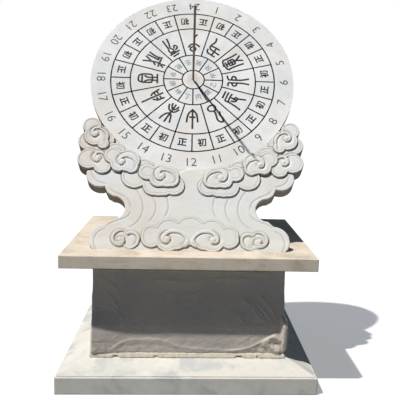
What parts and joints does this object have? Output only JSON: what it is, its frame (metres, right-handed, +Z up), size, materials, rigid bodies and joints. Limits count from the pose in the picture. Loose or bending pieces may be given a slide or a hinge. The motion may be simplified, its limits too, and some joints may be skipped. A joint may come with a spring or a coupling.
{
  "type": "sundial",
  "caption": "Garden sundial with a leaning stone dial and rod, held in a carved cloud stand on a square stone pedestal.",
  "frame": {"origin": "middle of the base stone's underside, on the ground", "axes": "+Z up, -Y towards the front, where the dial faces and the rod points, +X to the right as seen from the front"},
  "size_m": [1.13, 1.13, 1.7868],
  "materials": {
    "plinth_stone": "honed white marble with grey veins",
    "mortar": "rough beige mortar",
    "die_stone": "honed white marble",
    "pin_steel": "plain steel pin",
    "film": "grey beige protective film",
    "cap_stone": "honed beige marble",
    "dial_stone": "honed white marble, carved",
    "prop_stone": "honed white marble",
    "sleeve_metal": "dull steel",
    "rod_metal": "brown weathered iron"
  },
  "bodies": {
    "root": {"base_plinth": "plinth_stone", "plinth_mortar": "mortar", "pedestal_die": "die_stone", "die_dowels": "pin_steel", "protective_wrap": "film", "cap_slab": "cap_stone", "cap_dowels": "pin_steel", "cloud_stand": "dial_stone", "stand_dowels": "pin_steel", "rear_prop": "prop_stone", "prop_dowels": "pin_steel", "dial_disc": "dial_stone", "dial_pins": "pin_steel", "gnomon_sleeve": "sleeve_metal", "gnomon_rod": "rod_metal"}
  },
  "joints": []
}
